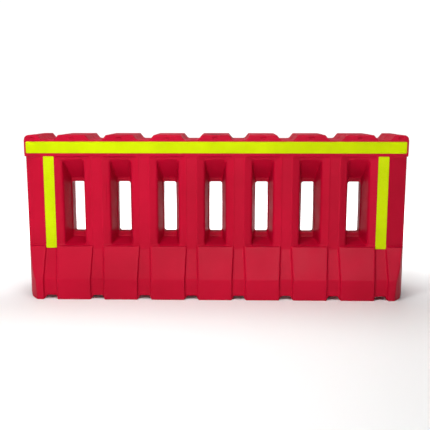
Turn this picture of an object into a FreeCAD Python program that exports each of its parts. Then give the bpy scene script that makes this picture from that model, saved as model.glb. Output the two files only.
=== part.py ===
"""Water filled barrier: a one-piece hollow polyethylene shell with seven through windows,
a screw-capped filler in its top, a screw-plugged drain low on its rear, and reflective tapes.

Millimetres. X runs along the barrier, Y through it with the front facing -Y, Z up.
The origin is on the ground, below the middle of the barrier.
"""
import FreeCAD, Part
import math
import os
import Sketcher

# ---------------------------------------------------------------- driving dimensions
DIMENSIONS = [
    # overall shape
    ("pitch", 225.0, "distance from one pillar, or window, to the next"),
    ("windows", 7, "number of windows; pillars are one more"),
    ("height", 780.0, "top of the crests"),
    ("beam_half", 147.0, "half depth of the top beam"),
    ("ridge_half", 144.5, "half depth of the pillars at the ridges beside their middle band"),
    ("band_half", 142.0, "half depth of the pillars over their flat middle band"),
    ("lip_half", 150.0, "half depth of the feet at their shoulder"),
    ("base_half", 200.0, "half depth of the feet at the ground"),
    ("shoulder_z", 250.0, "height of the feet's shoulder"),
    ("break_z", 98.0, "height where the feet's faces turn from vertical to sloping"),
    ("beam_z", 693.0, "height where the beam's face turns in towards the pillars"),
    ("beam_low_z", 680.0, "lower edge of that slanting face"),
    ("wall", 4.0, "wall thickness of the moulding"),
    # pillars and windows
    ("band_width", 51.0, "width of a pillar's flat middle band"),
    ("mouth_width", 100.6, "width of a window's funnel at the pillar's bevelled bands"),
    ("bevel_drop", 12.0, "how far the bevel beside a funnel ends behind the middle band"),
    ("end_drop", 20.0, "how far an end pillar's outer bevel ends behind the middle band"),
    ("mouth_top_z", 677.0, "upper edge of a funnel on the pillar's face"),
    ("funnel_top_z", 570.0, "upper edge of a funnel where it meets the throat"),
    ("funnel_low_z", 277.0, "lower edge of a funnel where it meets the throat"),
    ("funnel_width", 68.0, "width of a funnel where it meets the throat"),
    ("throat_half", 26.0, "half length of the throat through the barrier"),
    ("throat_width", 62.0, "width of the throat"),
    ("throat_top_z", 550.0, "top of the throat"),
    ("throat_low_z", 302.0, "sill of the throat"),
    ("throat_round", 9.0, "corner radius of the throat"),
    # grooves and drain channels under the pillars
    ("groove_z", 238.0, "height where a groove's floor starts to slope out from the pillar"),
    ("groove_half", 184.0, "half depth of the base in the grooves between the feet"),
    ("groove_mouth", 33.0, "half width of a groove at the feet's lowest faces"),
    ("channel_rise", 18.0, "height of a water channel under the base"),
    ("channel_roof", 23.0, "half width of a water channel's roof"),
    ("channel_foot", 30.0, "half width of a water channel at the ground"),
    ("channel_round", 7.0, "radius of the corners under a water channel's roof"),
    # scalloped top
    ("notch_z", 756.0, "floor of a notch between two crests"),
    ("notch_floor", 30.0, "half width of a notch's floor"),
    ("notch_mouth", 49.0, "half width of a notch at the crests' tops"),
    ("notch_round", 14.0, "radius of the corners in a notch's floor"),
    ("dimple_long", 24.0, "length of a dimple in a crest's face"),
    ("dimple_tall", 10.0, "height of a dimple"),
    ("dimple_deep", 6.0, "depth of a dimple"),
    ("dimple_z", 765.0, "height of the dimples' centres"),
    ("end_dimple", 862.0, "distance of the end crests' dimples from the middle"),
    # corner facets of the end feet
    ("facet_long", 50.0, "length that a corner facet takes off along the barrier at the ground"),
    ("facet_deep", 65.0, "depth that a corner facet takes off at the ground"),
    ("facet_lean", 2.97, "lean of a corner facet from upright, degrees"),
    ("corner_turn", 12.0, "how far an end foot's corner falls back at its shoulder"),
    ("end_round", 22.0, "radius that rounds each end's top and bottom corners"),
    # channel in each end, where a link between two barriers slides in
    ("link_radius", 28.0, "radius of the half-round channel in each end"),
    # filler
    ("fill_pocket", 48.0, "radius of the pocket around the filler"),
    ("fill_floor_z", 754.0, "floor of that pocket"),
    ("fill_bore", 25.0, "bore radius of the filler neck"),
    ("fill_thread", 30.0, "outer radius of the filler neck's thread"),
    ("fill_flange", 38.0, "radius of the neck's flange"),
    ("fill_root_z", 734.0, "lower end of the neck, inside the tank"),
    ("fill_rim_z", 772.0, "rim of the neck"),
    ("flange_thick", 3.0, "thickness of the neck's and the bush's flanges"),
    ("cap_radius", 37.0, "radius of the filler cap over its grip"),
    ("cap_skirt_z", 758.0, "lower edge of the cap's skirt"),
    ("cap_top_z", 779.0, "top of the cap's plate"),
    ("cap_dish", 27.0, "radius of the dish in the cap's top"),
    ("cap_dish_deep", 3.0, "depth of that dish"),
    ("cap_bar", 11.0, "width of the grip bar that crosses the dish"),
    ("cap_flutes", 24, "number of grip flutes around the cap"),
    ("flute_radius", 2.4, "radius of a grip flute"),
    ("seal_thick", 2.0, "thickness of both gaskets"),
    ("play", 0.3, "radial clearance between plain cylinders that stand for threads"),
    # drain
    ("drain_z", 53.0, "height of the drain's axis"),
    ("drain_pocket", 33.0, "radius of the pocket around the drain"),
    ("drain_deep", 24.0, "depth of that pocket"),
    ("drain_bore", 12.0, "bore radius of the drain bush"),
    ("drain_body", 17.0, "outer radius of the drain bush"),
    ("drain_flange", 23.0, "radius of the bush's flange and of the plug's head"),
    ("bush_inside", 18.0, "how far the bush reaches behind the pocket's floor"),
    ("bush_proud", 3.0, "how far the bush's rim stands out of its flange"),
    ("plug_shank", 16.0, "length of the plug's threaded shank"),
    ("plug_head", 4.0, "thickness of the plug's head"),
    ("plug_hex", 24.0, "width across the flats of the plug's hexagon"),
    ("plug_hex_tall", 8.0, "height of the plug's hexagon"),
    # reflective tapes
    ("tape_thick", 0.6, "thickness of the tape"),
    ("tape_low_z", 695.0, "lower edge of the long tape"),
    ("tape_top_z", 749.0, "upper edge of the long tape"),
    ("tape_margin", 9.0, "distance of the long tape's ends from the barrier's ends"),
    ("mark_low_z", 240.0, "lower edge of an upright tape"),
    ("mark_top_z", 680.0, "upper edge of an upright tape"),
    ("mark_width", 50.0, "width of an upright tape"),
]

doc = FreeCAD.newDocument("water_filled_barrier")
sheet = doc.addObject("Spreadsheet::Sheet", "dims")
for row, (alias, value, meaning) in enumerate(DIMENSIONS, start=1):
    sheet.set(f"A{row}", meaning)
    sheet.set(f"B{row}", str(value))
    sheet.setAlias(f"B{row}", alias)
doc.recompute()

WINDOWS = int(sheet.windows)
PILLARS = WINDOWS + 1
HALF_LENGTH = "dims.pitch * (dims.windows + 1) / 2"
BEYOND = 20.0  # how far a cutting tool reaches past the surface that it opens

# placements that turn a flat sketch into another plane
ALONG_X = FreeCAD.Rotation(FreeCAD.Vector(1, 1, 1), 120)  # sketch x, y -> Y, Z
ALONG_Y = FreeCAD.Rotation(FreeCAD.Vector(1, 0, 0), 90)  # sketch x, y -> X, Z

# the way that the drain faces, and the floor of the pocket around it
REAR = FreeCAD.Vector(0, 1, 0)
DRAIN_FLOOR = "dims.base_half - dims.drain_deep"


# ---------------------------------------------------------------- helpers
def bind(item, **expressions):
    """Bind an object's sizes to the sheet; a double underscore stands for a dot."""
    for name, expression in expressions.items():
        item.setExpression(name.replace("__", "."), str(expression))
    return item


def move(item, x="0", y="0", z="0"):
    """Bind where an object stands."""
    return bind(item, Placement__Base__x=x, Placement__Base__y=y, Placement__Base__z=z)


def outline(name, points, rotation=FreeCAD.Rotation()):
    """A closed sketch of straight lines whose corners are expressions of the sheet."""
    sketch = doc.addObject("Sketcher::SketchObject", name)
    sketch.Placement = FreeCAD.Placement(FreeCAD.Vector(), rotation)
    corners = [
        FreeCAD.Vector(sketch.evalExpression(u), sketch.evalExpression(v), 0)
        for u, v in points
    ]
    count = len(corners)
    for i, corner in enumerate(corners):
        sketch.addGeometry(Part.LineSegment(corner, corners[(i + 1) % count]))
    for i, (u, v) in enumerate(points):
        sketch.addConstraint(Sketcher.Constraint("Coincident", i, 2, (i + 1) % count, 1))
        for axis, expression, value in (("X", u, corners[i].x), ("Y", v, corners[i].y)):
            index = sketch.addConstraint(
                Sketcher.Constraint(f"Distance{axis}", -1, 1, i, 1, value)
            )
            sketch.setExpression(f"Constraints[{index}]", expression)
    return sketch


def extrude(name, profile, direction, length, reverse="0"):
    """A solid made by moving a sketch along a direction."""
    solid = doc.addObject("Part::Extrusion", name)
    solid.Base = profile
    solid.DirMode = "Custom"
    solid.Dir = direction
    solid.Solid = True
    return bind(solid, LengthFwd=length, LengthRev=reverse)


def cylinder(name, radius, length, axis=None):
    """A round bar from the origin along +Z, or along another axis."""
    bar = doc.addObject("Part::Cylinder", name)
    if axis is not None:
        turn = FreeCAD.Rotation(FreeCAD.Vector(0, 0, 1), axis)
        bar.Placement = FreeCAD.Placement(FreeCAD.Vector(), turn)
    return bind(bar, Radius=radius, Height=length)


def fuse(name, shapes):
    """All the shapes as one."""
    joined = doc.addObject("Part::MultiFuse", name)
    joined.Shapes = shapes
    joined.Refine = False
    return joined


def cut(name, base, tool, refine=True):
    """The base with the tool taken away."""
    rest = doc.addObject("Part::Cut", name)
    rest.Base = base
    rest.Tool = tool
    rest.Refine = refine
    return rest


def round_edges(name, solid, radius, wanted):
    """The solid with every straight edge that passes the test rounded off."""
    doc.recompute()
    numbers = [
        n
        for n, edge in enumerate(solid.Shape.Edges, start=1)
        if wanted(edge.tangentAt(edge.FirstParameter), edge.CenterOfMass)
    ]
    rounded = doc.addObject("Part::Fillet", name)
    rounded.Base = solid
    rounded.Edges = [(n, radius, radius) for n in numbers]
    return rounded


def at_steps(count):
    """Expressions for the X places of a centred row of features one pitch apart."""
    return [f"dims.pitch * {i - (count - 1) / 2}" for i in range(count)]


# ---------------------------------------------------------------- the shell's outside
def envelope():
    """The barrier's full section, before anything is cut out of it."""
    right = [
        ("dims.base_half", "0"),
        ("dims.base_half", "dims.break_z"),
        ("dims.lip_half", "dims.shoulder_z"),
        ("dims.ridge_half", "dims.shoulder_z"),
        ("dims.ridge_half", "dims.beam_low_z"),
        ("dims.beam_half", "dims.beam_z"),
        ("dims.beam_half", "dims.height"),
    ]
    left = [(f"-{y}", z) for y, z in reversed(right)]
    section = outline("section", right + left, ALONG_X)
    return extrude("envelope", section, FreeCAD.Vector(1, 0, 0), HALF_LENGTH, HALF_LENGTH)


def pillar_tool(name, points, x="0"):
    """A plan outline run up a pillar's whole height, from the shoulder to the beam."""
    profile = outline(f"{name}_plan", points)
    move(profile, x, z="dims.shoulder_z")
    return extrude(name, profile, FreeCAD.Vector(0, 0, 1), "dims.beam_low_z - dims.shoulder_z")


def window_recess(i, x, side):
    """The bevels beside a window, from the ridges of the two pillars back to the funnel."""
    ridge = "dims.pitch / 2 - dims.band_width / 2"
    deep = f"{side} * (dims.band_half - dims.bevel_drop)"
    drop = "(dims.ridge_half - dims.band_half + dims.bevel_drop)"
    reach = f"{ridge} + {BEYOND} * ({ridge} - dims.mouth_width / 2) / {drop}"
    face = f"{side} * (dims.ridge_half + {BEYOND})"
    points = [
        (f"-({reach})", face),
        ("-dims.mouth_width / 2", deep),
        ("dims.mouth_width / 2", deep),
        (reach, face),
    ]
    return pillar_tool(f"window_recess_{i}", points, x)


def end_recess(i, end, side):
    """The outer bevel of an end pillar, falling back towards the barrier's end."""
    ridge = f"{end} * ({HALF_LENGTH} - dims.pitch / 2 + dims.band_width / 2)"
    tip = f"{end} * ({HALF_LENGTH} + {BEYOND})"
    drop = "(dims.ridge_half - dims.band_half + dims.end_drop)"
    slope = f"{drop} / (dims.pitch / 2 - dims.band_width / 2)"
    face = f"{side} * (dims.ridge_half + {BEYOND})"
    points = [
        (ridge, f"{side} * dims.ridge_half"),
        (tip, f"{side} * (dims.ridge_half - {drop} - {BEYOND} * {slope})"),
        (tip, face),
        (ridge, face),
    ]
    return pillar_tool(f"end_recess_{i}", points)


def band_recess(i, x, side):
    """The flat middle band of a pillar, sunk between its two ridges."""
    floor = f"{side} * dims.band_half"
    face = f"{side} * (dims.ridge_half + {BEYOND})"
    points = [
        ("-dims.band_width / 2", face),
        ("-dims.band_width / 2", floor),
        ("dims.band_width / 2", floor),
        ("dims.band_width / 2", face),
    ]
    return pillar_tool(f"band_recess_{i}", points, x)


def funnel(i, x, side):
    """The four-sided funnel from a pillar's face down to the throat of a window."""
    mouth = "(dims.band_half - dims.bevel_drop)"
    depth = f"({mouth} - dims.throat_half)"
    grow = f"({BEYOND} + {depth}) / {depth}"
    hood = doc.addObject("Part::Wedge", f"funnel_{i}")
    if side < 0:
        turn = FreeCAD.Rotation()
        base = f"-({mouth} + {BEYOND})"
    else:
        turn = FreeCAD.Rotation(FreeCAD.Vector(0, 0, 1), 180)
        base = f"{mouth} + {BEYOND}"
    hood.Placement = FreeCAD.Placement(FreeCAD.Vector(), turn)
    wide = f"dims.funnel_width / 2 + (dims.mouth_width - dims.funnel_width) / 2 * {grow}"
    rise = "(dims.mouth_top_z - dims.funnel_top_z) / (dims.band_half - dims.throat_half)"
    top = f"dims.funnel_top_z + {rise} * ({depth} + {BEYOND})"
    fall = "(dims.funnel_low_z - dims.shoulder_z) / (dims.lip_half - dims.throat_half)"
    low = f"dims.funnel_low_z - {fall} * ({depth} + {BEYOND})"
    bind(
        hood,
        Ymin="0",
        Ymax=f"{depth} + {BEYOND}",
        Xmin=f"-({wide})",
        Xmax=wide,
        Zmin=low,
        Zmax=top,
        X2min="-dims.funnel_width / 2",
        X2max="dims.funnel_width / 2",
        Z2min="dims.funnel_low_z",
        Z2max="dims.funnel_top_z",
    )
    return move(hood, x, base)


def throat(i, x):
    """The straight opening in the middle of a window, with rounded corners."""
    block = doc.addObject("Part::Box", f"throat_block_{i}")
    bind(
        block,
        Length="dims.throat_width",
        Width="dims.throat_half * 2 + 2",
        Height="dims.throat_top_z - dims.throat_low_z",
    )
    move(block, f"{x} - dims.throat_width / 2", "-dims.throat_half - 1", "dims.throat_low_z")
    return round_edges(
        f"throat_{i}", block, float(sheet.throat_round), lambda along, middle: abs(along.y) > 0.5
    )


def groove(i, x, side):
    """The recess between two feet, below a pillar; its floor follows the feet's profile."""
    face = f"{side} * (dims.base_half + {BEYOND})"
    floor = outline(
        f"groove_floor_{i}",
        [
            (f"{side} * dims.band_half", "dims.shoulder_z"),
            (f"{side} * dims.band_half", "dims.groove_z"),
            (f"{side} * dims.groove_half", "dims.break_z"),
            (f"{side} * dims.groove_half", f"-{BEYOND}"),
            (face, f"-{BEYOND}"),
            (face, "dims.shoulder_z"),
        ],
        ALONG_X,
    )
    move(floor, x)
    half = "dims.pitch / 2"
    run = extrude(f"groove_run_{i}", floor, FreeCAD.Vector(1, 0, 0), half, half)
    flare = "(dims.groove_mouth - dims.band_width / 2) / (dims.base_half - dims.band_half)"
    wide = f"dims.groove_mouth + {flare} * {BEYOND}"
    plan = outline(
        f"groove_plan_{i}",
        [
            (f"-({wide})", face),
            ("-dims.band_width / 2", f"{side} * dims.band_half"),
            ("dims.band_width / 2", f"{side} * dims.band_half"),
            (wide, face),
        ],
    )
    move(plan, x, z=f"-{BEYOND}")
    flared = extrude(
        f"groove_flare_{i}", plan, FreeCAD.Vector(0, 0, 1), f"dims.shoulder_z + 2 * {BEYOND}"
    )
    both = doc.addObject("Part::Common", f"groove_{i}")
    both.Base = run
    both.Tool = flared
    return both


def cross_channel(name, x, low, high, foot, roof):
    """A channel with slanting sides that runs through the barrier from front to back."""
    points = [(f"-({foot})", low), (foot, low), (roof, high), (f"-({roof})", high)]
    profile = outline(f"{name}_profile", points, ALONG_Y)
    move(profile, x)
    reach = f"dims.base_half + {BEYOND}"
    return extrude(name, profile, FreeCAD.Vector(0, 1, 0), reach, reach)


def water_channel(i, x):
    """The way for rain water under the base, in line with the grooves."""
    flare = "(dims.channel_foot - dims.channel_roof) / dims.channel_rise"
    sharp = cross_channel(
        f"sharp_channel_{i}",
        x,
        f"-{BEYOND}",
        "dims.channel_rise",
        f"dims.channel_foot + {flare} * {BEYOND}",
        "dims.channel_roof",
    )
    return round_edges(
        f"water_channel_{i}",
        sharp,
        float(sheet.channel_round),
        lambda along, middle: abs(along.y) > 0.5 and middle.z > 0,
    )


def notch(i, x):
    """The dip in the barrier's top above a pillar."""
    flare = "(dims.notch_mouth - dims.notch_floor) / (dims.height - dims.notch_z)"
    sharp = cross_channel(
        f"sharp_notch_{i}",
        x,
        "dims.notch_z",
        f"dims.height + {BEYOND}",
        "dims.notch_floor",
        f"dims.notch_mouth + {flare} * {BEYOND}",
    )
    return round_edges(
        f"notch_{i}",
        sharp,
        float(sheet.notch_round),
        lambda along, middle: abs(along.y) > 0.5 and middle.z < float(sheet.height),
    )


def dimple(i, x, side):
    """A small oval recess in the face of a crest."""
    length = f"dims.dimple_deep + {BEYOND}"
    start = f"{side} * (dims.beam_half - dims.dimple_deep)"
    parts = []
    for end in (-1, 1):
        name = f"dimple_{i}_end_{end + 1}"
        tip = cylinder(name, "dims.dimple_tall / 2", length, FreeCAD.Vector(0, side, 0))
        offset = f"{end} * (dims.dimple_long - dims.dimple_tall) / 2"
        parts.append(move(tip, f"{x} + {offset}", start, "dims.dimple_z"))
    bar = doc.addObject("Part::Box", f"dimple_{i}_middle")
    bind(bar, Length="dims.dimple_long - dims.dimple_tall", Width=length, Height="dims.dimple_tall")
    near = start if side > 0 else f"{start} - ({length})"
    shift = "(dims.dimple_long - dims.dimple_tall) / 2"
    move(bar, f"{x} - {shift}", near, "dims.dimple_z - dims.dimple_tall / 2")
    return parts + [bar]


def corner_facet(i, end, side):
    """A leaning plane that takes the corner off an end foot, from the shoulder to the ground."""
    block = doc.addObject("Part::Box", f"corner_facet_{i}")
    reach = 400.0
    bind(block, Length=str(reach), Width=str(reach / 2), Height=str(reach))
    plan = math.degrees(math.atan2(float(sheet.facet_deep), float(sheet.facet_long)))
    lean = FreeCAD.Rotation(FreeCAD.Vector(1, 0, 0), -float(sheet.facet_lean))
    # the block's own face y = 0 becomes the facet; it is centred along x
    around = {(1, -1): 180 + plan, (1, 1): -plan, (-1, 1): plan, (-1, -1): 180 - plan}
    turn = FreeCAD.Rotation(FreeCAD.Vector(0, 0, 1), around[(end, side)]).multiply(lean)
    start = turn.multVec(FreeCAD.Vector(-reach / 2, 0, -reach / 4))
    block.Placement = FreeCAD.Placement(FreeCAD.Vector(), turn)
    middle_x = f"{end} * ({HALF_LENGTH} - dims.facet_long / 2)"
    middle_y = f"{side} * (dims.base_half - dims.facet_deep / 2)"
    return move(block, f"{middle_x} + {start.x}", f"{middle_y} + {start.y}", str(start.z))


def corner_turn(i, end, side):
    """The upright plane that turns an end foot's corner back in line with the end pillar."""
    back = "(dims.band_half - dims.end_drop)"
    slope = f"dims.corner_turn / (dims.lip_half - {back})"
    reach = f"(dims.base_half + {BEYOND})"
    tip = f"{end} * ({HALF_LENGTH} + {BEYOND})"
    points = [
        (f"{end} * {HALF_LENGTH}", f"{side} * {back}"),
        (f"{end} * ({HALF_LENGTH} - {slope} * ({reach} - {back}))", f"{side} * {reach}"),
        (tip, f"{side} * {reach}"),
        (tip, f"{side} * {back}"),
    ]
    profile = outline(f"corner_turn_{i}_plan", points)
    move(profile, z=f"-{BEYOND}")
    tall = f"dims.shoulder_z + 2 * {BEYOND}"
    return extrude(f"corner_turn_{i}", profile, FreeCAD.Vector(0, 0, 1), tall)


def end_rounding(i, end, top):
    """What rounding takes off an end's top or bottom corner, along the corner's whole length."""
    square = doc.addObject("Part::Box", f"{i}_square")
    depth = f"2 * (dims.base_half + {BEYOND})"
    size = f"dims.end_round + {BEYOND}"
    bind(square, Length=size, Width=depth, Height=size)
    inner = f"({HALF_LENGTH} - dims.end_round)"
    low = "dims.height - dims.end_round" if top else f"-{BEYOND}"
    near = inner if end > 0 else f"-{inner} - dims.end_round - {BEYOND}"
    move(square, near, f"-({depth}) / 2", low)
    bar = cylinder(f"{i}_bar", "dims.end_round", f"{depth} + 2", FreeCAD.Vector(0, 1, 0))
    middle_z = "dims.height - dims.end_round" if top else "dims.end_round"
    move(bar, f"{end} * {inner}", f"-({depth}) / 2 - 1", middle_z)
    return cut(f"end_rounding_{i}", square, bar)


def link_channel(i, end):
    """The half-round channel down the middle of an end."""
    bar = cylinder(f"link_channel_{i}", "dims.link_radius", f"dims.height + 2 * {BEYOND}")
    return move(bar, f"{end} * {HALF_LENGTH}", z=f"-{BEYOND}")


def outside_tools():
    """Everything that is taken out of the envelope to give the shell's outside."""
    tools = []
    sides = (-1, 1)
    for i, x in enumerate(at_steps(WINDOWS), start=1):
        tools.append(throat(i, x))
        for side in sides:
            name = f"{i}_{'front' if side < 0 else 'rear'}"
            tools.append(window_recess(name, x, side))
            tools.append(funnel(name, x, side))
            tools += dimple(name, x, side)
    for i, x in enumerate(at_steps(PILLARS), start=1):
        tools.append(water_channel(i, x))
        tools.append(notch(i, x))
        for side in sides:
            name = f"{i}_{'front' if side < 0 else 'rear'}"
            tools.append(groove(name, x, side))
            tools.append(band_recess(name, x, side))
    for end in (-1, 1):
        name = "left" if end < 0 else "right"
        tools.append(link_channel(name, end))
        tools.append(end_rounding(f"{name}_top", end, True))
        tools.append(end_rounding(f"{name}_bottom", end, False))
        for side in sides:
            corner = f"{name}_{'front' if side < 0 else 'rear'}"
            tools.append(end_recess(corner, end, side))
            tools.append(corner_facet(corner, end, side))
            tools.append(corner_turn(corner, end, side))
            tools += dimple(corner, f"{end} * dims.end_dimple", side)
    fill_pocket = cylinder("fill_pocket", "dims.fill_pocket", "dims.height")
    tools.append(move(fill_pocket, z="dims.fill_floor_z"))
    drain_pocket = cylinder("drain_pocket", "dims.drain_pocket", "dims.base_half", REAR)
    tools.append(move(drain_pocket, y=DRAIN_FLOOR, z="dims.drain_z"))
    return tools


def grown(solid, distance):
    """The same solid with every face moved outwards, or inwards when the distance is negative."""
    offset = doc.addObject("Part::Offset", f"{solid.Name}_offset")
    offset.Source = solid
    offset.Join = 2  # edges stay sharp
    return bind(offset, Value=distance)


# ---------------------------------------------------------------- the sub-parts
def barrier_shell():
    """The hollow one-piece moulding: its outside, less a cavity one wall thickness inside it."""
    solid = envelope()
    tools = outside_tools()
    doc.recompute()
    outside = cut("outside", solid, fuse("outside_tool", tools))
    inner_tools = [grown(tool, "dims.wall") for tool in tools]
    cavity = cut("cavity", grown(solid, "-dims.wall"), fuse("cavity_tool", inner_tools))
    neck_hole = cylinder("neck_hole", "dims.fill_thread", "dims.height - dims.fill_root_z")
    move(neck_hole, z="dims.fill_root_z")
    bush_hole = cylinder("bush_hole", "dims.drain_body", "dims.base_half", REAR)
    move(bush_hole, y=f"{DRAIN_FLOOR} - dims.bush_inside", z="dims.drain_z")
    hollow = cut("hollow", outside, cavity, refine=False)
    return cut("barrier_shell", hollow, fuse("port_holes", [neck_hole, bush_hole]), refine=False)


def fill_neck():
    """The filler's neck: a tube through the pocket's floor, with a flange that sits on it."""
    tube = cylinder("neck_tube", "dims.fill_thread", "dims.fill_rim_z - dims.fill_root_z")
    move(tube, z="dims.fill_root_z")
    flange = cylinder("neck_flange", "dims.fill_flange", "dims.flange_thick")
    move(flange, z="dims.fill_floor_z")
    bore = cylinder("neck_bore", "dims.fill_bore", "dims.height")
    move(bore, z="dims.fill_root_z - 1")
    return cut("fill_neck", fuse("neck_solid", [tube, flange]), bore)


def fill_seal():
    """The flat gasket that the cap presses on the neck's rim."""
    ring = cylinder("fill_seal_disc", "dims.fill_thread - 0.5", "dims.seal_thick")
    hole = cylinder("fill_seal_hole", "dims.fill_bore + 0.5", "dims.seal_thick + 2")
    move(ring, z="dims.fill_rim_z")
    move(hole, z="dims.fill_rim_z - 1")
    return cut("fill_seal", ring, hole)


def fill_cap():
    """The filler's screw cap: a fluted skirt, and a plate with a grip bar across its dish."""
    disc = cylinder("cap_disc", "dims.cap_radius", "dims.cap_top_z - dims.cap_skirt_z")
    move(disc, z="dims.cap_skirt_z")
    ceiling = "dims.fill_rim_z + dims.seal_thick"
    hollow = f"{ceiling} - dims.cap_skirt_z + 1"
    inside = cylinder("cap_inside", "dims.fill_thread + dims.play", hollow)
    move(inside, z="dims.cap_skirt_z - 1")
    dish = cylinder("cap_dish", "dims.cap_dish", "dims.cap_dish_deep + 1")
    move(dish, z="dims.cap_top_z - dims.cap_dish_deep")
    bar = doc.addObject("Part::Box", "cap_bar")
    bind(bar, Length="dims.cap_radius * 2", Width="dims.cap_bar", Height="dims.cap_dish_deep + 3")
    move(bar, "-dims.cap_radius", "-dims.cap_bar / 2", "dims.cap_top_z - dims.cap_dish_deep - 1")
    fingers = cut("cap_fingers", dish, bar)
    flutes = []
    for i in range(int(sheet.cap_flutes)):
        flute = cylinder(f"cap_flute_{i}", "dims.flute_radius", "dims.height")
        turn = f"{i} * 360 deg / dims.cap_flutes"
        reach = "(dims.cap_radius + dims.flute_radius * 0.4)"
        x = f"{reach} * cos({turn})"
        y = f"{reach} * sin({turn})"
        flutes.append(move(flute, x, y, "dims.cap_skirt_z - 1"))
    return cut("fill_cap", disc, fuse("cap_tool", [inside, fingers] + flutes))


def outward(item, place):
    """Stand a bar on the drain's axis, starting at a given depth."""
    return move(item, y=place, z="dims.drain_z")


DRAIN_RIM = f"({DRAIN_FLOOR} + dims.flange_thick + dims.bush_proud)"
PLUG_SEAT = f"({DRAIN_RIM} + dims.seal_thick)"


def drain_bush():
    """The threaded bush that is moulded into the drain's pocket."""
    length = "dims.bush_inside + dims.flange_thick + dims.bush_proud"
    body = cylinder("bush_body", "dims.drain_body", length, REAR)
    outward(body, f"{DRAIN_FLOOR} - dims.bush_inside")
    flange = cylinder("bush_flange", "dims.drain_flange", "dims.flange_thick", REAR)
    outward(flange, DRAIN_FLOOR)
    bore = cylinder("bush_bore", "dims.drain_bore", "dims.base_half", REAR)
    outward(bore, "dims.base_half / 2")
    return cut("drain_bush", fuse("bush_solid", [body, flange]), bore)


def drain_seal():
    """The gasket under the drain plug's head."""
    ring = cylinder("drain_seal_disc", "dims.drain_body", "dims.seal_thick", REAR)
    outward(ring, DRAIN_RIM)
    hole = cylinder("drain_seal_hole", "dims.drain_bore + 0.5", "dims.seal_thick + 2", REAR)
    outward(hole, f"{DRAIN_RIM} - 1")
    return cut("drain_seal", ring, hole)


def drain_plug():
    """The drain's screw plug: a shank, a round head and a hexagon for the spanner."""
    shank = cylinder("plug_shank", "dims.drain_bore - dims.play", "dims.plug_shank", REAR)
    outward(shank, f"{PLUG_SEAT} - dims.plug_shank")
    head = cylinder("plug_head", "dims.drain_flange - 2", "dims.plug_head", REAR)
    outward(head, PLUG_SEAT)
    hexagon = doc.addObject("Part::Prism", "plug_hexagon")
    hexagon.Polygon = 6
    turn = FreeCAD.Rotation(FreeCAD.Vector(0, 0, 1), REAR)
    hexagon.Placement = FreeCAD.Placement(FreeCAD.Vector(), turn)
    bind(hexagon, Circumradius="dims.plug_hex / 2 / cos(30 deg)", Height="dims.plug_hex_tall")
    outward(hexagon, f"{PLUG_SEAT} + dims.plug_head")
    return fuse("drain_plug", [shank, head, hexagon])


def tape(name, side, half_depth, width, height, middle_x, low_z):
    """One strip of reflective tape on the front or the rear."""
    strip = doc.addObject("Part::Box", name)
    bind(strip, Length=width, Width="dims.tape_thick", Height=height)
    near = f"{half_depth}" if side > 0 else f"-({half_depth} + dims.tape_thick)"
    return move(strip, f"{middle_x} - ({width}) / 2", near, low_z)


def tapes():
    """A long tape along the beam and an upright one on each end pillar, front and rear."""
    strips = []
    last_pillar = f"({HALF_LENGTH} - dims.pitch / 2)"
    for face, side in (("front", -1), ("rear", 1)):
        long_width = f"2 * ({HALF_LENGTH} - dims.tape_margin)"
        long_height = "dims.tape_top_z - dims.tape_low_z"
        strips.append(
            tape(
                f"{face}_top_tape",
                side,
                "dims.beam_half",
                long_width,
                long_height,
                "0",
                "dims.tape_low_z",
            )
        )
        for end, sign in (("left", -1), ("right", 1)):
            strips.append(
                tape(
                    f"{face}_{end}_tape",
                    side,
                    "dims.band_half",
                    "dims.mark_width",
                    "dims.mark_top_z - dims.mark_low_z",
                    f"{sign} * {last_pillar}",
                    "dims.mark_low_z",
                )
            )
    return strips


subparts = [
    barrier_shell(),
    fill_neck(),
    fill_seal(),
    fill_cap(),
    drain_bush(),
    drain_seal(),
    drain_plug(),
] + tapes()
for subpart in subparts:
    subpart.Label = subpart.Name
doc.recompute()

# ---------------------------------------------------------------- checks and export
for item in doc.Objects:
    if "Invalid" in item.State or "Error" in item.State:
        raise RuntimeError(f"{item.Label} did not compute: {item.State}")
for subpart in subparts:
    if subpart.Shape.isNull() or not subpart.Shape.isValid():
        raise RuntimeError(f"{subpart.Label} has no valid shape")
    if len(subpart.Shape.Solids) != 1:
        raise RuntimeError(f"{subpart.Label} is {len(subpart.Shape.Solids)} solids")

os.makedirs("parts", exist_ok=True)
for subpart in subparts:
    subpart.Shape.exportStep(f"parts/{subpart.Label}.step")
    litres = subpart.Shape.Volume / 1e6
    print(f"{subpart.Label}: {litres:.4f} litres of material, {len(subpart.Shape.Faces)} faces")
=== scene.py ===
"""Looks for the water filled barrier: a softly rounded red polyethylene moulding, reflective
tapes pressed onto it, and the threaded filler and drain fittings. Metres, in the CAD frame."""
import math

import bmesh
import bpy
import numpy as np
from mathutils import Matrix, Vector, noise
from mathutils.bvhtree import BVHTree


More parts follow.
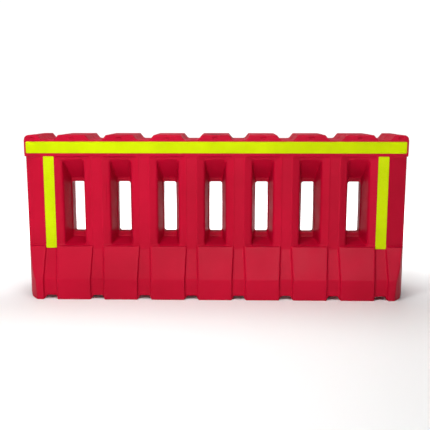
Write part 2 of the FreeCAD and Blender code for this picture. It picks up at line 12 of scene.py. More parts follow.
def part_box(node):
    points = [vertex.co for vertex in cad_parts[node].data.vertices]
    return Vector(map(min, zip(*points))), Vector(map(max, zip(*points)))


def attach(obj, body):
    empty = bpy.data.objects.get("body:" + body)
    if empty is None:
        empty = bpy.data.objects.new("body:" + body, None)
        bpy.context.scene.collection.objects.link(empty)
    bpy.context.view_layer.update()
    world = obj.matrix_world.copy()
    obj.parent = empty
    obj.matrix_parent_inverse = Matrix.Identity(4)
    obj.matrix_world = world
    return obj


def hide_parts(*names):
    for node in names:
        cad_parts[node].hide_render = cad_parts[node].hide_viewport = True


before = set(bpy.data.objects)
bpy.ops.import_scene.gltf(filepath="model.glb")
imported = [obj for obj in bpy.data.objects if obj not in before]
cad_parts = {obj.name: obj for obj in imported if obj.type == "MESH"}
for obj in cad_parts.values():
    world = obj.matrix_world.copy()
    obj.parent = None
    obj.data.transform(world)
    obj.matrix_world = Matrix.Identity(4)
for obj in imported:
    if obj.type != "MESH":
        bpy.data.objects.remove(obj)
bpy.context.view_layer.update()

MM = 0.001

# ---------------------------------------------------------------- camera
TARGET = Vector((-0.0042, 0.0, 0.380))  # the point looked at
DISTANCE = 3.280
AZIMUTH = math.radians(1.25)  # from straight in front, towards +X
ELEVATION = math.radians(8.95)
LENS = 55.22  # focal length in millimetres
CLIP_END = 60.0

FLOOR_SIZE = 14.0
FLOOR_COLOUR = (0.93, 0.93, 0.93, 1)
FLOOR_ROUGHNESS = 0.75
WHITE = (1, 1, 1, 1)
WORLD_WHITE = 1.05  # brightness of the room, which is seen but gives no light
BACKDROP_GLOW = 1.1  # light that the floor far from the barrier gives out
GLOW_MIDDLE = (0, -1.5, 0)
GLOW_RADII = 1.5, 3.3  # the glow starts at the first and is full at the second

# lamps: name, place, the point it faces, its two sizes and its power in watts
SOFT_LAMPS = (
    ("above", (0, -1.3, 3.4), (0, -0.1, 0.2), (2.4, 1.0), 60),
    ("top", (-0.2, 1.2, 3.6), (0, 0.6, 0), (3.6, 2.0), 72),
    ("low", (0, -3.6, 0.35), (0, 0, 0.4), (2.4, 0.5), 50),
    ("left", (-3.4, -1.2, 1.6), (0, 0, 0.4), (1.2, 1.6), 15),
    ("near_left", (-1.2, -2.0, 1.7), (-0.2, 0, 0.4), (0.6, 0.6), 24),
    ("rear", (0.5, 3.6, 1.5), (0, 0, 0.4), (2.4, 1.4), 50),
)
SHEEN_LAMPS = (
    ("front_sheen", (0.9, -4.4, 3.0), (0, 0, 0.2), (1.8, 1.0), 190),
    ("left_sheen", (-2.0, -3.1, 3.2), (0, 0, 0.35), (1.2, 1.2), 50),
    ("back_sheen", (0, 3.2, 1.3), (0, 0, 0.75), (4.0, 1.2), 9),
)


def make_camera():
    """The photo's view: from the front, a little above the barrier."""
    data = bpy.data.cameras.new("camera")
    data.lens = LENS
    data.clip_end = CLIP_END
    camera = bpy.data.objects.new("camera", data)
    bpy.context.scene.collection.objects.link(camera)
    back = Vector((
        math.sin(AZIMUTH) * math.cos(ELEVATION),
        -math.cos(AZIMUTH) * math.cos(ELEVATION),
        math.sin(ELEVATION),
    ))
    camera.location = TARGET + back * DISTANCE
    camera.rotation_euler = (math.pi / 2 - ELEVATION, 0.0, AZIMUTH)
    bpy.context.scene.camera = camera


# ---------------------------------------------------------------- stage and light
def make_stage():
    """A pale floor that glows far from the barrier, where it merges with the white room."""
    mesh = bpy.data.meshes.new("floor")
    half = FLOOR_SIZE / 2
    corners = [(-half, -half, 0), (half, -half, 0), (half, half, 0), (-half, half, 0)]
    mesh.from_pydata(corners, [], [(0, 1, 2, 3)])
    floor = bpy.data.objects.new("floor", mesh)
    bpy.context.scene.collection.objects.link(floor)
    material = bpy.data.materials.new("pale_floor")
    material.use_nodes = True
    shader = material.node_tree.nodes["Principled BSDF"]
    shader.inputs["Base Color"].default_value = FLOOR_COLOUR
    shader.inputs["Roughness"].default_value = FLOOR_ROUGHNESS
    shader.inputs["Emission Color"].default_value = WHITE
    nodes, links = material.node_tree.nodes, material.node_tree.links
    place = nodes.new("ShaderNodeTexCoord")
    away = nodes.new("ShaderNodeVectorMath")
    away.operation = "DISTANCE"
    glow = nodes.new("ShaderNodeMapRange")
    glow.interpolation_type = "SMOOTHSTEP"
    links.new(place.outputs["Object"], away.inputs[0])
    away.inputs[1].default_value = GLOW_MIDDLE
    links.new(away.outputs["Value"], glow.inputs["Value"])
    glow.inputs["From Min"].default_value, glow.inputs["From Max"].default_value = GLOW_RADII
    glow.inputs["To Max"].default_value = BACKDROP_GLOW
    links.new(glow.outputs["Result"], shader.inputs["Emission Strength"])
    mesh.materials.append(material)


def area_light(name, place, aim, size, power):
    """A rectangular lamp at a place, facing a point. The camera doesn't see it."""
    data = bpy.data.lights.new(name, "AREA")
    data.shape = "RECTANGLE"
    data.size, data.size_y = size
    data.energy = power
    light = bpy.data.objects.new(name, data)
    light.location = place
    light.rotation_euler = (Vector(aim) - Vector(place)).to_track_quat("-Z", "Y").to_euler()
    light.visible_camera = False
    bpy.context.scene.collection.objects.link(light)
    return light


def make_light():
    """A white room, and lamps: soft ones for the light and others for the plastic's sheen."""
    world = bpy.data.worlds.new("studio")
    world.use_nodes = True
    room = world.node_tree.nodes["Background"]
    room.inputs["Color"].default_value = WHITE
    room.inputs["Strength"].default_value = WORLD_WHITE
    world.cycles_visibility.diffuse = False
    world.cycles_visibility.glossy = False
    bpy.context.scene.world = world
    for name, place, aim, size, power in SOFT_LAMPS:
        area_light(name, place, aim, size, power).visible_glossy = False
    for name, place, aim, size, power in SHEEN_LAMPS:
        area_light(name, place, aim, size, power).visible_diffuse = False
    bpy.context.scene.view_settings.view_transform = "Standard"


# ---------------------------------------------------------------- node helpers
MIX_A, MIX_B, MIX_RESULT = 6, 7, 2  # the mix node's sockets for colours


class Material:
    """A small builder for a Principled material."""

    def __init__(self, name):
        self.material = bpy.data.materials.new(name)
        self.material.use_nodes = True
        self.tree = self.material.node_tree
        self.shader = self.tree.nodes["Principled BSDF"]
        self.place = self.add("ShaderNodeTexCoord").outputs["Object"]

    def add(self, kind, **settings):
        node = self.tree.nodes.new(kind)
        for key, value in settings.items():
            setattr(node, key, value)
        return node

    def link(self, source, target):
        self.tree.links.new(source, target)

    def feed(self, target, value):
        """Set a socket to a number, or link it when the value is another socket."""
        if isinstance(value, bpy.types.NodeSocket):
            self.link(value, target)
        else:
            target.default_value = value

    def noise(self, scale, detail=3.0, rough=0.5, place=None):
        node = self.add("ShaderNodeTexNoise")
        self.link(place or self.place, node.inputs["Vector"])
        node.inputs["Scale"].default_value = scale
        node.inputs["Detail"].default_value = detail
        node.inputs["Roughness"].default_value = rough
        return node.outputs["Fac"]

    def stretched(self, factors):
        """The place, scaled along each axis, for patterns drawn out in one direction."""
        node = self.add("ShaderNodeMapping")
        self.link(self.place, node.inputs["Vector"])
        node.inputs["Scale"].default_value = factors
        return node.outputs["Vector"]

    def ramp(self, value, low, high, start=0.0, end=1.0):
        """Map low..high of a value onto start..end."""
        node = self.add("ShaderNodeMapRange", clamp=True)
        self.feed(node.inputs["Value"], value)
        node.inputs["From Min"].default_value = low
        node.inputs["From Max"].default_value = high
        node.inputs["To Min"].default_value = start
        node.inputs["To Max"].default_value = end
        return node.outputs["Result"]

    def maths(self, operation, a, b=0.0):
        node = self.add("ShaderNodeMath", operation=operation)
        self.feed(node.inputs[0], a)
        self.feed(node.inputs[1], b)
        return node.outputs["Value"]

    def mix(self, factor, a, b):
        """A blend of two colours. The node's sockets for colours have no names of their own."""
        node = self.add("ShaderNodeMix", data_type="RGBA")
        self.feed(node.inputs["Factor"], factor)
        self.feed(node.inputs[MIX_A], a)
        self.feed(node.inputs[MIX_B], b)
        return node.outputs[MIX_RESULT]

    def bump(self, height, distance, strength=1.0, before=None):
        node = self.add("ShaderNodeBump")
        self.link(height, node.inputs["Height"])
        node.inputs["Distance"].default_value = distance
        node.inputs["Strength"].default_value = strength
        if before is not None:
            self.link(before, node.inputs["Normal"])
        return node.outputs["Normal"]

    def set(self, name, value):
        """Set or link an input of the material's shader."""
        self.feed(self.shader.inputs[name], value)


def red_polyethylene():
    """Semi-gloss moulded polyethylene: mottled red, scuffed, with pale rubbed edges."""
    m = Material("red_polyethylene")
    deep = (0.36, 0.0006, 0.017, 1)
    bright = (0.43, 0.0010, 0.022, 1)
    rubbed = (0.68, 0.030, 0.060, 1)
    # clouds of two reds, with pale specks
    cloudy = m.ramp(m.noise(2.6, 4.0, 0.6), 0.35, 0.65)
    body = m.mix(cloudy, deep, bright)
    speckle = m.ramp(m.noise(700.0, 2.0), 0.62, 0.80, 0.0, 0.25)
    body = m.mix(speckle, body, rubbed)
    # wear on the sharper edges, broken up
    edge = m.add("ShaderNodeNewGeometry").outputs["Pointiness"]
    broken = m.ramp(m.noise(38.0, 5.0, 0.7), 0.40, 0.70, 0.25, 1.0)
    wear = m.maths("MULTIPLY", m.ramp(edge, 0.515, 0.60, 0.0, 0.55), broken)
    body = m.mix(wear, body, rubbed)
    m.set("Base Color", body)
    # long scuffs on an uneven gloss
    drawn_out = m.stretched((0.25, 1.0, 1.0))
    scuffs = m.ramp(m.noise(60.0, 4.0, 0.65, drawn_out), 0.60, 0.75, 0.0, 0.14)
    grainy = m.ramp(m.noise(14.0, 3.0), 0.3, 0.7, 0.44, 0.54)
    m.set("Roughness", m.maths("ADD", grainy, scuffs))
    m.set("Specular IOR Level", 0.10)
    # orange peel under a fine grain
    peel = m.bump(m.noise(170.0, 3.0, 0.6), 0.25 * MM)
    grain = m.bump(m.noise(1500.0, 2.0), 0.05 * MM, before=peel)
    m.set("Normal", grain)
    return m.material


def reflective_tape():
    """Fluorescent yellow-green sheeting with its fine sealed cells."""
    m = Material("reflective_tape")
    cells = m.add("ShaderNodeTexVoronoi", feature="DISTANCE_TO_EDGE")
    m.link(m.place, cells.inputs["Vector"])
    cells.inputs["Scale"].default_value = 290.0
    cells.inputs["Randomness"].default_value = 0.15
    # pale borders round the cells
    border = m.ramp(cells.outputs["Distance"], 0.03, 0.09, 1.0, 0.0)
    patchy = m.ramp(m.noise(9.0, 3.0), 0.35, 0.65)
    body = m.mix(patchy, (0.42, 0.53, 0.0002, 1), (0.48, 0.60, 0.0004, 1))
    faint = m.maths("MULTIPLY", border, 0.35)
    m.set("Base Color", m.mix(faint, body, (0.56, 0.66, 0.01, 1)))
    m.set("Roughness", m.ramp(m.noise(22.0, 4.0), 0.3, 0.7, 0.22, 0.34))
    m.set("Normal", m.bump(border, 0.06 * MM))
    m.set("Specular IOR Level", 0.03)
    return m.material


def black_polypropylene():
    """Matt black plastic with a grain and a little dust."""
    m = Material("black_plastic")
    uneven = m.ramp(m.noise(60.0, 4.0), 0.35, 0.65)
    body = m.mix(uneven, (0.012, 0.012, 0.013, 1), (0.028, 0.028, 0.030, 1))
    dust = m.ramp(m.noise(240.0, 3.0), 0.60, 0.75, 0.0, 0.35)
    m.set("Base Color", m.mix(dust, body, (0.10, 0.10, 0.10, 1)))
    m.set("Roughness", m.ramp(m.noise(90.0, 3.0), 0.3, 0.7, 0.42, 0.58))
    m.set("Normal", m.bump(m.noise(1400.0, 2.0), 0.05 * MM))
    return m.material


def seal_rubber():
    """Dull black rubber."""
    m = Material("seal_rubber")
    body = m.mix(m.noise(200.0, 3.0), (0.016, 0.016, 0.016, 1), (0.035, 0.034, 0.033, 1))
    m.set("Base Color", body)
    m.set("Roughness", m.ramp(m.noise(300.0, 2.0), 0.3, 0.7, 0.62, 0.78))
    m.set("Normal", m.bump(m.noise(900.0, 2.0), 0.04 * MM))
    return m.material


def bush_brass():
    """Turned brass, dulled in patches."""
    m = Material("bush_brass")
    dull = m.ramp(m.noise(70.0, 4.0, 0.6), 0.35, 0.70)
    m.set("Base Color", m.mix(dull, (0.72, 0.50, 0.20, 1), (0.42, 0.28, 0.12, 1)))
    m.set("Metallic", 1.0)
    m.set("Roughness", m.ramp(dull, 0.0, 1.0, 0.25, 0.48))
    turned = m.noise(900.0, 2.0, 0.5, m.stretched((0.05, 1.0, 0.05)))
    m.set("Normal", m.bump(turned, 0.04 * MM))
    return m.material


# ---------------------------------------------------------------- mesh helpers
WEIGHT_LEVELS = 10  # a vertex group's weights are rounded to this many steps


def new_piece(name, mesh, material, body, slot, *nodes):
    """An object for a finished mesh, riding on its body in place of its CAD nodes, if any."""
    piece = bpy.data.objects.new(name, mesh)
    bpy.context.scene.collection.objects.link(piece)
    mesh.materials.clear()
    mesh.materials.append(material)
    mesh.shade_smooth()
    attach(piece, body)
    if nodes:
        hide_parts(*nodes)
    return piece


def with_modifiers(mesh, *steps, weights=None):
    """The mesh after a stack of modifiers, each given as (kind, settings). Weights, one for each
    point, go in a vertex group called soft."""
    holder = bpy.data.objects.new("holder", mesh)
    bpy.context.scene.collection.objects.link(holder)
    if weights is not None:
        group = holder.vertex_groups.new(name="soft")
        levels = np.round(weights * WEIGHT_LEVELS).astype(int)
        for level in range(1, WEIGHT_LEVELS + 1):
            points = np.flatnonzero(levels == level).tolist()
            group.add(points, level / WEIGHT_LEVELS, "REPLACE")
    for kind, settings in steps:
        modifier = holder.modifiers.new(kind.lower(), kind)
        for key, value in settings.items():
            setattr(modifier, key, value)
    graph = bpy.context.evaluated_depsgraph_get()
    made = bpy.data.meshes.new_from_object(holder.evaluated_get(graph))
    bpy.data.objects.remove(holder)
    return made


def clean(mesh):
    """Join points that meet and turn every face outwards."""
    work = bmesh.new()
    work.from_mesh(mesh)
    bmesh.ops.remove_doubles(work, verts=work.verts, dist=0.001 * MM)
    bmesh.ops.recalc_face_normals(work, faces=work.faces)
    work.to_mesh(mesh)
    work.free()


def coordinates(mesh):
    """A mesh's points as rows of X, Y and Z."""
    points = np.empty(len(mesh.vertices) * 3)
    mesh.vertices.foreach_get("co", points)
    return points.reshape(-1, 3)


# ---------------------------------------------------------------- the shell
VOXEL = 3.0 * MM  # grid of the rounded shell
SOFTENING = 5  # smoothing passes: edges come out with a radius of about 4 mm
SHELL_FACES = 190000  # what the finished shell is thinned to
WAVE = 0.45 * MM  # how far a moulded panel wanders from flat
WAVE_LENGTH = 0.16  # and over what length
PITCH = 0.225  # from one window to the next
WINDOWS = 7
MOUTH = Vector((50.3, 130.0, 0)) * MM  # corner of a window's funnel, from the window's middle
MOUTH_LOW, MOUTH_TOP = 0.262, 0.670  # the extra smoothing acts between these heights
MOUTH_SOFTENING = 70  # extra smoothing passes at the upright corners of the funnels
MOUTH_FULL = 1.5  # raises the weight near a corner, so that it's 1 over a third of the reach
MOUTH_REACH = 17.0 * MM  # how far from a funnel's upright corner the extra smoothing acts
PORTS = (
    # node, axis of the port, how far its hole is from the outer end of the node's box
    ("fill_neck", 2, 18.4 * MM),
    ("drain_bush", 1, 6.4 * MM),
)


def port_holes():
    """Each port's hole in the wall: its axis, its middle, its reach and the ends of the wall."""
    holes = []
    for node, axis, depth in PORTS:
        low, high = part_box(node)
        others = [i for i in range(3) if i != axis]
        reach = max(high[i] - low[i] for i in others) / 2
        holes.append((others, (low + high) / 2, reach, axis, low[axis], high[axis] - depth))
    return holes


def in_port(point, holes):
    """Whether a face's middle lies inside the wall around a port, behind its pocket's floor."""
    return any(
        low < point[axis] < high
        and math.hypot(*(point[i] - middle[i] for i in others)) < reach
        for others, middle, reach, axis, low, high in holes
    )


def outer_skin(node):
    """The outside of the CAD moulding as one closed mesh, without the tank's inside."""
    work = bmesh.new()
    work.from_mesh(node.data)
    bmesh.ops.remove_doubles(work, verts=work.verts, dist=0.01 * MM)
    holes = port_holes()
    walls = [face for face in work.faces if in_port(face.calc_center_median(), holes)]
    bmesh.ops.delete(work, geom=walls, context="FACES")
    work.verts.ensure_lookup_table()
    start = max(work.verts, key=lambda vertex: vertex.co.x)
    seen = {start}
    waiting = [start]
    while waiting:
        vertex = waiting.pop()
        for edge in vertex.link_edges:
            other = edge.other_vert(vertex)
            if other not in seen:
                seen.add(other)
                waiting.append(other)
    inside = [vertex for vertex in work.verts if vertex not in seen]
    bmesh.ops.delete(work, geom=inside, context="VERTS")
    rims = [edge for edge in work.edges if edge.is_boundary]
    bmesh.ops.holes_fill(work, edges=rims, sides=0)
    mesh = bpy.data.meshes.new("outer_skin")
    work.to_mesh(mesh)
    work.free()
    return mesh


def window_middles():
    """Where each window's middle is along the barrier."""
    return [(i - (WINDOWS - 1) / 2) * PITCH for i in range(WINDOWS)]


def mouth_weights(mesh):
    """For each point, 1 on the upright corners of the window funnels, falling to 0 around them."""
    points = coordinates(mesh)
    middles = np.array(window_middles())
    along = np.abs(points[:, 0, None] - middles[None, :]).min(axis=1) - MOUTH.x
    through = np.abs(points[:, 1]) - MOUTH.y
    weight = np.clip(MOUTH_FULL * (1 - np.hypot(along, through) / MOUTH_REACH), 0, 1)
    weight[(points[:, 2] < MOUTH_LOW) | (points[:, 2] > MOUTH_TOP)] = 0
    return weight


def wander(mesh):
    """Move each point a little along its normal, as cooling does to a large moulded panel."""
    points = coordinates(mesh)
    normals = np.empty(len(points) * 3)
    mesh.vertices.foreach_get("normal", normals)
    normals = normals.reshape(-1, 3)
    push = np.array([noise.noise(Vector(p) / WAVE_LENGTH) for p in points])
    points += normals * (push * WAVE)[:, None]
    points[:, 2] = np.maximum(points[:, 2], 0.0)
    mesh.vertices.foreach_set("co", points.ravel())
    mesh.update()


def make_shell(material):
    """The shell with every edge rounded, and softer corners beside the windows."""
    rounded_skin = with_modifiers(
        outer_skin(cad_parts["barrier_shell"]),
        ("REMESH", {"mode": "VOXEL", "voxel_size": VOXEL}),
        ("SMOOTH", {"factor": 0.5, "iterations": SOFTENING}),
    )
    soft = with_modifiers(
        rounded_skin,
        ("SMOOTH", {"factor": 0.5, "iterations": MOUTH_SOFTENING, "vertex_group": "soft"}),
        weights=mouth_weights(rounded_skin),
    )
    triangles = sum(len(face.vertices) - 2 for face in soft.polygons)
    shell = with_modifiers(soft, ("DECIMATE", {"ratio": min(1.0, SHELL_FACES / triangles)}))
    wander(shell)
    return new_piece("moulded_shell", shell, material, "shell", "red_polyethylene", "barrier_shell")


BEAD_WIDE = 3.2 * MM
BEAD_TALL = 0.8 * MM
BEAD_ROOT = 0.3 * MM  # how deep its two edges sit in the shell
BEAD_STEP = 5.0 * MM
BEAD_FROM = 12 * MM  # the line starts this far outside the neck's flange
BEAD_SHORT = 3 * MM  # and stops this far short of the barrier's end


def bead_run(surface, starts, direction):
    """Where rays from the starts meet the shell, as points with the surface's normals."""
    found = []
    for start in starts:
        place, normal = surface.ray_cast(Vector(start), Vector(direction))[:2]
        if place is not None:
            found.append((place, normal))
    return found


def make_parting_bead(surface, material):
    """The raised line that the mould's two halves leave over the top, left and right of the
    filler's pocket."""
    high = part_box("barrier_shell")[1]
    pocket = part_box("fill_neck")[1].x + BEAD_FROM
    count = round((high.x - pocket) / BEAD_STEP)
    outward = [pocket + (high.x - BEAD_SHORT - pocket) * i / count for i in range(count + 1)]
    above = high.z + 0.1
    side = Vector((0, BEAD_WIDE / 2, 0))
    vertices, faces = [], []
    for sign in (-1, 1):
        over = bead_run(surface, [(sign * x, 0, above) for x in outward], (0, 0, -1))
        first = len(vertices)
        for place, normal in over:
            root = normal * BEAD_ROOT
            vertices += [place - side - root, place + normal * BEAD_TALL, place + side - root]
        for k in range(len(over) - 1):
            a = first + 3 * k
            pairs = ((a, a + 1), (a + 1, a + 2), (a + 2, a))
            quads = [(p, q, q + 3, p + 3) for p, q in pairs]
            faces += quads if sign < 0 else [tuple(reversed(quad)) for quad in quads]
        last = first + 3 * (len(over) - 1)
        faces += [(first, first + 1, first + 2), (last + 2, last + 1, last)]
    mesh = bpy.data.meshes.new("parting_bead")
    mesh.from_pydata(vertices, [], faces)
    clean(mesh)
    new_piece("parting_bead", mesh, material, "shell", "red_polyethylene")


# ---------------------------------------------------------------- the tapes
TAPE_STEP = 4.0 * MM
TAPE_CORNER = 4.0 * MM
TAPE_THICK = 0.5 * MM
TAPE_LIFT = 0.15 * MM  # how far a tape stands off the shell
TAPE_SEARCH = 4 * MM  # a tape follows the shell where it's nearer than this to the CAD's tape


def tape_grid(low, high, corner, step):
    """Points and quads of a flat strip in X and Z, its four corners rounded."""
    across = max(2, round((high.x - low.x) / step))
    upward = max(2, round((high.z - low.z) / step))
    points = []
    for j in range(upward + 1):
        for i in range(across + 1):
            x = low.x + (high.x - low.x) * i / across
            z = low.z + (high.z - low.z) * j / upward
            near_x = min(max(x, low.x + corner), high.x - corner)
            near_z = min(max(z, low.z + corner), high.z - corner)
            away = Vector((x - near_x, 0, z - near_z))
            if away.length > corner:
                away *= corner / away.length
                x, z = near_x + away.x, near_z + away.z
            points.append((x, z))
    row = across + 1
    firsts = [j * row + i for j in range(upward) for i in range(across)]
    return points, [(a, a + 1, a + 1 + row, a + row) for a in firsts]


def make_tape(name, surface, material):
    """A strip of tape pressed onto the shell, following its surface."""
    low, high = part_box(name)
    side = 1.0 if low.y > 0 else -1.0
    points, quads = tape_grid(low, high, TAPE_CORNER, TAPE_STEP)
    face = high.y if side < 0 else low.y
    inward = Vector((0, -side, 0))
    pressed = []
    for x, z in points:
        hit = surface.ray_cast(Vector((x, side, z)), inward)[0]
        y = hit.y if hit is not None and abs(hit.y - face) < TAPE_SEARCH else face
        pressed.append((x, y + side * TAPE_LIFT, z))
    if side > 0:
        quads = [tuple(reversed(quad)) for quad in quads]
    mesh = bpy.data.meshes.new(name)
    mesh.from_pydata(pressed, [], quads)
    mesh = with_modifiers(mesh, ("SOLIDIFY", {"thickness": TAPE_THICK, "offset": 1.0}))
    return new_piece(f"{name}_strip", mesh, material, "shell", "reflective_tape", name)


# ---------------------------------------------------------------- turned fittings
ROUND = 0.8 * MM  # usual rounding of an edge
SAME = 0.01 * MM  # two radii this close are the same
AXIS = 0.05 * MM  # inner radius of a piece with no hole
FLANGE = 3 * MM  # thickness of the flanges of the neck and the bush
BITE = 0.4 * MM  # how far the cap's bar and the plug's nut are sunk into what they stand on
GASKET_GAP = 0.5 * MM  # between a gasket's hole and the bore under it
FLANK_SLOPE, CREST_WIDTH = 2.2, 0.5  # a thread's section: more is steeper, and wider

# the filler: radii, and heights above the ground
FILL_BORE, FILL_CREST = 25.0 * MM, 30.0 * MM
FILL_FLOOR = 754.0 * MM  # the pocket's floor
FILL_PITCH, FILL_DEPTH = 6.0 * MM, 1.3 * MM  # its thread
FILL_THREAD_FROM = 3.6 * MM  # the thread starts this far above the pocket's floor
CAP_INSIDE, CAP_DISH = 30.3 * MM, 27.0 * MM
CAP_CEILING = 774.0 * MM
DISH_DEEP, DISH_SLOPE = 3 * MM, 1.2 * MM
FLUTES, FLUTE_DEPTH = 24, 1.3 * MM
BAR_END, BAR_WAIST = 5.5 * MM, 4.2 * MM  # half widths of the bar across the cap's dish

# the drain: radii, and distances to the rear of the barrier's middle
DRAIN_BORE, DRAIN_BODY = 12.0 * MM, 17.0 * MM
DRAIN_FLOOR = 176.0 * MM  # the pocket's floor
DRAIN_PITCH, DRAIN_DEPTH = 3.0 * MM, 0.8 * MM  # its thread
THREAD_END = 1.5 * MM  # the threads stop this far from the cap's ceiling and the bush's mouth
PLUG_CREST = 11.7 * MM
SHANK, HEAD = 16 * MM, 4 * MM  # length of the plug's shank and thickness of its head
KNURLS, KNURL_DEPTH = 60, 0.25 * MM
NUT_FLAT = 12.0 * MM  # from the axis to one of the six flats


def rounded(corners, radius=ROUND, steps=4):
    """A closed outline with each corner turned into a small curve. Corners are (radius, height)."""
    outline = []
    count = len(corners)
    for i, corner in enumerate(corners):
        here = Vector(corner)
        before = Vector(corners[i - 1]) - here
        after = Vector(corners[(i + 1) % count]) - here
        start = here + before.normalized() * min(radius, before.length * 0.45)
        end = here + after.normalized() * min(radius, after.length * 0.45)
        for k in range(steps + 1):
            t = k / steps
            outline.append(tuple(start * (1 - t) ** 2 + here * 2 * t * (1 - t) + end * t * t))
    return outline


def dense(outline, step):
    """The outline with extra points, so that none of its sides is longer than the step."""
    points = []
    for i, point in enumerate(outline):
        here, after = Vector(point), Vector(outline[(i + 1) % len(outline)])
        parts = max(1, math.ceil((after - here).length / step))
        points += [tuple(here.lerp(after, k / parts)) for k in range(parts)]
    return points


def thread(radius, height, angle, pitch, depth):
    """The radius of a screw thread. Its crests have the given radius and its roots lie within."""
    turn = (height / pitch - angle / (2 * math.pi)) % 1.0
    return radius - depth * min(1.0, max(0.0, FLANK_SLOPE * abs(2 * turn - 1) - CREST_WIDTH))


def stand(mesh, place, axis):
    """Turn a mesh made along Z onto an axis, and move its origin to a place."""
    turn = Vector((0, 0, 1)).rotation_difference(Vector(axis)).to_matrix().to_4x4()
    mesh.transform(Matrix.Translation(place) @ turn)


def turned(name, outline, place, axis, steps=128, shape=None):
    """A closed turned mesh. The outline is the section's (radius, height) points; shape may change
    the radius and height by angle, for threads and flutes."""
    count = len(outline)
    points = []
    for k in range(steps):
        angle = 2 * math.pi * k / steps
        for radius, height in outline:
            r, h = shape(radius, height, angle) if shape else (radius, height)
            points.append((r * math.cos(angle), r * math.sin(angle), h))
    faces = []
    for k in range(steps):
        a, b = k * count, (k + 1) % steps * count
        faces += [(a + i, b + i, b + (i + 1) % count, a + (i + 1) % count) for i in range(count)]
    mesh = bpy.data.meshes.new(name)
    mesh.from_pydata(points, [], faces)
    stand(mesh, place, axis)
    clean(mesh)
    return mesh


def gasket(inner, outer, low, high):
    """The outline of a flat ring with soft edges."""
    return rounded([(inner, low), (outer, low), (outer, high), (inner, high)], 0.7 * MM)


def prism(corners, low, high, bevel):
    """A straight block on a flat outline, with every edge rounded."""
    count = len(corners)
    points = [(x, y, z) for z in (low, high) for x, y in corners]
    faces = [tuple(reversed(range(count))), tuple(range(count, 2 * count))]
    faces += [(i, (i + 1) % count, count + (i + 1) % count, count + i) for i in range(count)]
    mesh = bpy.data.meshes.new("prism")
    mesh.from_pydata(points, [], faces)
    return with_modifiers(mesh, ("BEVEL", {"width": bevel, "segments": 4, "limit_method": "ANGLE"}))


def joined(name, *meshes):
    """Several meshes as one."""
    work = bmesh.new()
    for mesh in meshes:
        work.from_mesh(mesh)
    mesh = bpy.data.meshes.new(name)
    work.to_mesh(mesh)
    work.free()
    return mesh


def fitting(name, mesh, material, body, slot, node):
    """A finished fitting in place of its CAD node, with even shading on its flats."""
    piece = new_piece(name, mesh, material, body, slot, node)
    mesh.set_sharp_from_angle(angle=math.radians(50))
    piece.modifiers.new("even", "WEIGHTED_NORMAL").keep_sharp = True
    return piece


def make_filler(red, black, rubber):
    """The neck with its outside thread, the gasket, and the fluted cap that screws onto the neck."""
    up = (0, 0, 1)
    neck_low, neck_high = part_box("fill_neck")
    flange = neck_high.x
    neck = dense(rounded([
        (FILL_BORE, neck_low.z),
        (FILL_CREST, neck_low.z),
        (FILL_CREST, FILL_FLOOR),
        (flange, FILL_FLOOR),
        (flange, FILL_FLOOR + FLANGE),
        (FILL_CREST, FILL_FLOOR + FLANGE),
        (FILL_CREST, neck_high.z),
        (FILL_BORE, neck_high.z),
    ]), 0.5 * MM)

    def neck_shape(radius, height, angle):
        outside = FILL_CREST - SAME < radius < FILL_CREST + 0.5 * MM
        if outside and height > FILL_FLOOR + FILL_THREAD_FROM:
            radius = thread(radius, height, angle, FILL_PITCH, FILL_DEPTH)
        return radius, height

    mesh = turned("filler_neck", neck, (0, 0, 0), up, shape=neck_shape)
    fitting("filler_neck", mesh, red, "shell", "red_polyethylene", "fill_neck")

    low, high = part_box("fill_seal")
    ring = gasket(FILL_BORE + GASKET_GAP, high.x, low.z, high.z)
    mesh = turned("filler_gasket", ring, (0, 0, 0), up)
    fitting("filler_gasket", mesh, rubber, "fill_seal", "seal_rubber", "fill_seal")

    low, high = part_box("fill_cap")
    grip = high.x
    cap = dense(rounded([
        (AXIS, CAP_CEILING),
        (CAP_INSIDE, CAP_CEILING),
        (CAP_INSIDE, low.z),
        (grip, low.z),
        (grip, high.z),
        (CAP_DISH, high.z),
        (CAP_DISH - DISH_SLOPE, high.z - DISH_DEEP),
        (AXIS, high.z - DISH_DEEP),
    ], 1.1 * MM), 0.8 * MM)

    def cap_shape(radius, height, angle):
        if radius > grip - 1.5 * MM:
            groove = max(0.0, math.cos(angle * FLUTES)) ** 2
            fade = min(1.0, max(0.0, (high.z - height) / (3 * MM)))
            radius -= FLUTE_DEPTH * groove * fade
        elif abs(radius - CAP_INSIDE) < SAME and height < CAP_CEILING - THREAD_END:
            radius += FILL_DEPTH - thread(FILL_DEPTH, height, angle, FILL_PITCH, FILL_DEPTH)
        return radius, height

    body = turned("cap_body", cap, (0, 0, 0), up, steps=12 * FLUTES, shape=cap_shape)
    reach = CAP_DISH - 0.6 * MM
    bar = prism([
        (-reach, -BAR_END), (0, -BAR_WAIST), (reach, -BAR_END),
        (reach, BAR_END), (0, BAR_WAIST), (-reach, BAR_END),
    ], high.z - DISH_DEEP - BITE, high.z - 0.1 * MM, 1.2 * MM)
    mesh = joined("filler_cap", body, bar)
    fitting("filler_cap", mesh, black, "fill_cap", "black_plastic", "fill_cap")


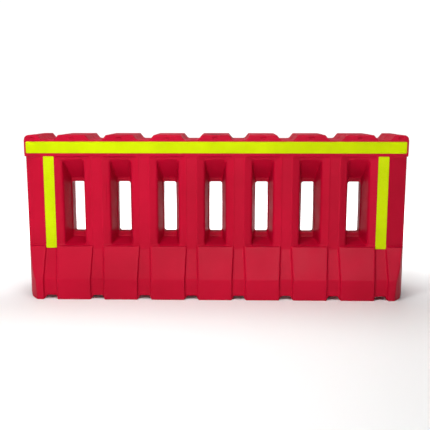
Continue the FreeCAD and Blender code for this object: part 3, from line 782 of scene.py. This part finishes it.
def make_drain(brass, black, rubber):
    """The threaded bush, the gasket, and the plug with its knurled head and six-sided nut."""
    rear = (0, 1, 0)
    bush_low, bush_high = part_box("drain_bush")
    middle = (bush_low + bush_high) / 2
    place = (middle.x, 0, middle.z)
    flange = bush_high.x - middle.x
    bush = dense(rounded([
        (DRAIN_BORE, bush_low.y),
        (DRAIN_BODY, bush_low.y),
        (DRAIN_BODY, DRAIN_FLOOR),
        (flange, DRAIN_FLOOR),
        (flange, DRAIN_FLOOR + FLANGE),
        (DRAIN_BODY, DRAIN_FLOOR + FLANGE),
        (DRAIN_BODY, bush_high.y),
        (DRAIN_BORE, bush_high.y),
    ], 0.6 * MM), 0.4 * MM)

    def bush_shape(radius, height, angle):
        if abs(radius - DRAIN_BORE) < SAME and height < bush_high.y - THREAD_END:
            radius += DRAIN_DEPTH - thread(DRAIN_DEPTH, height, angle, DRAIN_PITCH, DRAIN_DEPTH)
        return radius, height

    mesh = turned("drain_bush_turned", bush, place, rear, shape=bush_shape)
    fitting("drain_bush_turned", mesh, brass, "shell", "bush_brass", "drain_bush")

    low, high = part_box("drain_seal")
    ring = gasket(DRAIN_BORE + GASKET_GAP, high.x - middle.x, low.y, high.y)
    mesh = turned("drain_gasket", ring, place, rear)
    fitting("drain_gasket", mesh, rubber, "drain_seal", "seal_rubber", "drain_seal")

    low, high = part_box("drain_plug")
    head = high.x - middle.x
    seat = low.y + SHANK
    plug = dense(rounded([
        (AXIS, low.y),
        (PLUG_CREST, low.y),
        (PLUG_CREST, seat),
        (head, seat),
        (head, seat + HEAD),
        (AXIS, seat + HEAD),
    ], 0.9 * MM), 0.4 * MM)

    def plug_shape(radius, height, angle):
        if abs(radius - PLUG_CREST) < SAME and height < seat - 1.0 * MM:
            radius = thread(radius, height, angle, DRAIN_PITCH, DRAIN_DEPTH)
        elif radius > head - 0.3 * MM:
            radius -= KNURL_DEPTH * max(0.0, math.cos(angle * KNURLS))
        return radius, height

    shank = turned("plug_body", plug, place, rear, steps=4 * KNURLS, shape=plug_shape)
    across = NUT_FLAT / math.cos(math.radians(30))
    angles = [math.radians(60 * k) for k in range(6)]
    corners = [(across * math.cos(angle), across * math.sin(angle)) for angle in angles]
    nut = prism(corners, seat + HEAD - BITE, high.y, 1.0 * MM)
    stand(nut, place, rear)
    mesh = joined("drain_screw", shank, nut)
    fitting("drain_screw", mesh, black, "drain_plug", "black_plastic", "drain_plug")


make_camera()
make_stage()
make_light()
RED = red_polyethylene()
TAPE = reflective_tape()
BLACK = black_polypropylene()
RUBBER = seal_rubber()
BRASS = bush_brass()

shell = make_shell(RED)
skin = BVHTree.FromPolygons(
    [vertex.co.copy() for vertex in shell.data.vertices],
    [tuple(face.vertices) for face in shell.data.polygons],
)
make_parting_bead(skin, RED)
for tape_name in sorted(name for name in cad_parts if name.endswith("_tape")):
    make_tape(tape_name, skin, TAPE)
make_filler(RED, BLACK, RUBBER)
make_drain(BRASS, BLACK, RUBBER)
